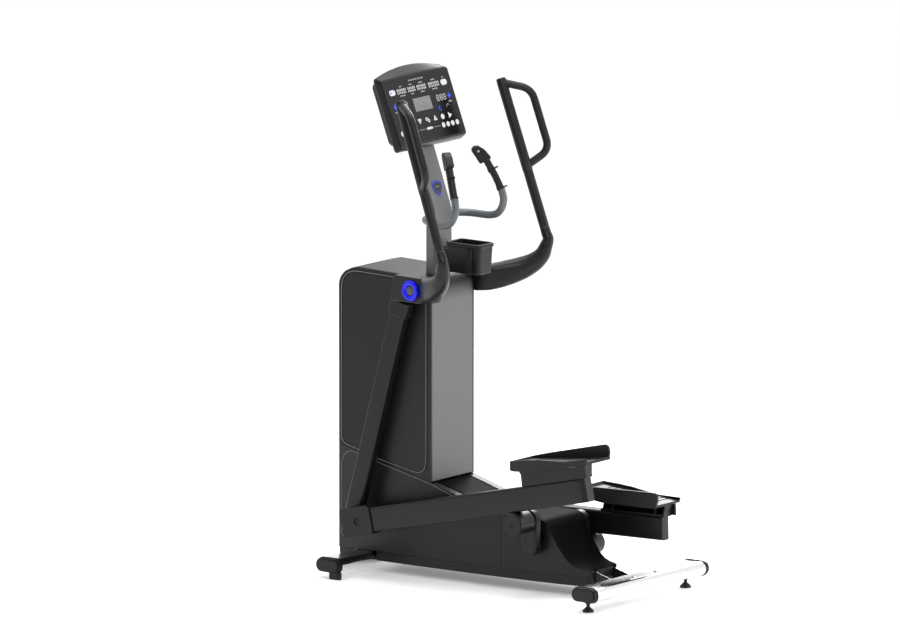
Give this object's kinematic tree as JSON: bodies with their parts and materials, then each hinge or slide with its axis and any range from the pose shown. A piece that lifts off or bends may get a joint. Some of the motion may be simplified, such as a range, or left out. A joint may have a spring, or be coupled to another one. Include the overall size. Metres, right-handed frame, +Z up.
{
  "type": "elliptical trainer",
  "caption": "Upright elliptical trainer: tower with console, swinging arms with looped grips, rear crank rollers under pedal arms, stabilizer bars.",
  "frame": {"origin": "on the floor at the centre of the footprint", "axes": "+Z up, +Y towards the console at the front, +X to the user's right"},
  "size_m": [0.7094, 1.22, 1.7092],
  "materials": {
    "satin_black_paint": "satin powder coat",
    "bright_tube": "bright plated",
    "black_plastic": "satin",
    "grey_panel": "satin",
    "grey_paint": "satin",
    "badge_blue": "gloss",
    "grip_rubber": "matte",
    "sensor_steel": "brushed",
    "button_red": "gloss",
    "gloss_black": "gloss",
    "lcd_grey": "satin",
    "key_white": "printed membrane",
    "machined_steel": "machined",
    "belt_rubber": "matte",
    "cast_flywheel": "machined",
    "dark_metal": "satin",
    "ring_blue": "gloss",
    "roller_polymer": "satin"
  },
  "bodies": {
    "frame": {"base_frame": "satin_black_paint", "tower_frame": "satin_black_paint", "front_stabilizer": "bright_tube", "rear_stabilizer": "bright_tube", "stabilizer_caps": "black_plastic", "levelling_feet": "grip_rubber", "rim_pan": "black_plastic", "left_lower_cover": "black_plastic", "right_lower_cover": "black_plastic", "left_rear_shroud": "black_plastic", "right_rear_shroud": "black_plastic", "top_fairing": "black_plastic", "left_side_cover": "black_plastic", "right_side_cover": "black_plastic", "front_cover": "black_plastic", "column_panel": "grey_panel", "top_cover": "black_plastic", "mast": "grey_paint", "mast_badge": "badge_blue", "fixed_handlebar": "grey_paint", "pulse_grips": "grip_rubber", "pulse_sensors": "sensor_steel", "cup_holder": "black_plastic", "console_housing": "black_plastic", "console_back": "black_plastic", "console_panel": "gloss_black", "lcd_window": "lcd_grey", "console_keys": "key_white", "pivot_axle": "machined_steel", "drive_belt": "belt_rubber", "brake_unit": "dark_metal", "power_inlet": "black_plastic"},
    "crank": {"crank_axle": "machined_steel", "left_crank_arm": "dark_metal", "right_crank_arm": "dark_metal", "crank_pulley": "machined_steel"},
    "front_shaft": {"jackshaft": "machined_steel"},
    "flywheel": {"flywheel": "cast_flywheel"},
    "thumb_left": {"thumb_button_left": "button_red"},
    "thumb_right": {"thumb_button_right": "button_red"},
    "left_swing": {"left_swing_arm": "satin_black_paint", "left_handle": "satin_black_paint", "left_grip": "grip_rubber", "left_pivot_ring": "ring_blue"},
    "left_pin": {"left_knee_pin": "machined_steel"},
    "left_arm": {"left_beam": "satin_black_paint", "left_beam_caps": "black_plastic", "left_roller": "roller_polymer", "left_pedal": "black_plastic"},
    "right_swing": {"right_swing_arm": "satin_black_paint", "right_handle": "satin_black_paint", "right_grip": "grip_rubber", "right_pivot_ring": "ring_blue"},
    "right_pin": {"right_knee_pin": "machined_steel"},
    "right_arm": {"right_beam": "satin_black_paint", "right_beam_caps": "black_plastic", "right_roller": "roller_polymer", "right_pedal": "black_plastic"}
  },
  "joints": [
    {"name": "left_swing", "type": "hinge", "parent": "frame", "child": "left_swing", "pos_m": [0, 0.25, 0.985], "axis": [1, 0, 0], "range_deg": [-17, 17]},
    {"name": "right_swing", "type": "hinge", "parent": "frame", "child": "right_swing", "pos_m": [0, 0.25, 0.985], "axis": [1, 0, 0], "range_deg": [-17, 17]},
    {"name": "left_pin_turn", "type": "hinge", "parent": "left_swing", "child": "left_pin", "pos_m": [0, 0.444, 0.187], "axis": [1, 0, 0], "range_deg": [-13, 13]},
    {"name": "right_pin_turn", "type": "hinge", "parent": "right_swing", "child": "right_pin", "pos_m": [0, 0.444, 0.187], "axis": [1, 0, 0], "range_deg": [-13, 13]},
    {"name": "left_pedal_tilt", "type": "hinge", "parent": "left_pin", "child": "left_arm", "pos_m": [0, 0.444, 0.187], "axis": [1, 0, 0], "range_deg": [0, 11.3]},
    {"name": "right_pedal_tilt", "type": "hinge", "parent": "right_pin", "child": "right_arm", "pos_m": [0, 0.444, 0.187], "axis": [1, 0, 0], "range_deg": [-11.3, 0]},
    {"name": "crank_spin", "type": "hinge", "parent": "frame", "child": "crank", "pos_m": [0, -0.202, 0.187], "axis": [1, 0, 0], "continuous": true},
    {"name": "front_shaft_spin", "type": "hinge", "parent": "frame", "child": "front_shaft", "pos_m": [0, 0.334, 0.214], "axis": [1, 0, 0], "continuous": true},
    {"name": "flywheel_spin", "type": "hinge", "parent": "frame", "child": "flywheel", "pos_m": [0, 0.42, 0.546], "axis": [1, 0, 0], "continuous": true},
    {"name": "thumb_left_press", "type": "slide", "parent": "frame", "child": "thumb_left", "axis": [-0.2802, -0.5736, -0.7698], "range_m": [0, 0.0015], "stiffness_N_per_m": 600, "springref_m": -0.001},
    {"name": "thumb_right_press", "type": "slide", "parent": "frame", "child": "thumb_right", "axis": [0.2802, -0.5736, -0.7698], "range_m": [0, 0.0015], "stiffness_N_per_m": 600, "springref_m": -0.001}
  ],
  "couplings": [
    {"joint": "right_swing", "follows": "left_swing", "ratio": -1},
    {"joint": "left_pin_turn", "follows": "left_swing", "ratio": -0.74},
    {"joint": "right_pin_turn", "follows": "left_swing", "ratio": 0.74},
    {"joint": "right_pedal_tilt", "follows": "left_pedal_tilt", "ratio": -1},
    {"joint": "front_shaft_spin", "follows": "crank_spin", "ratio": 1},
    {"joint": "flywheel_spin", "follows": "crank_spin", "ratio": 6.3}
  ]
}
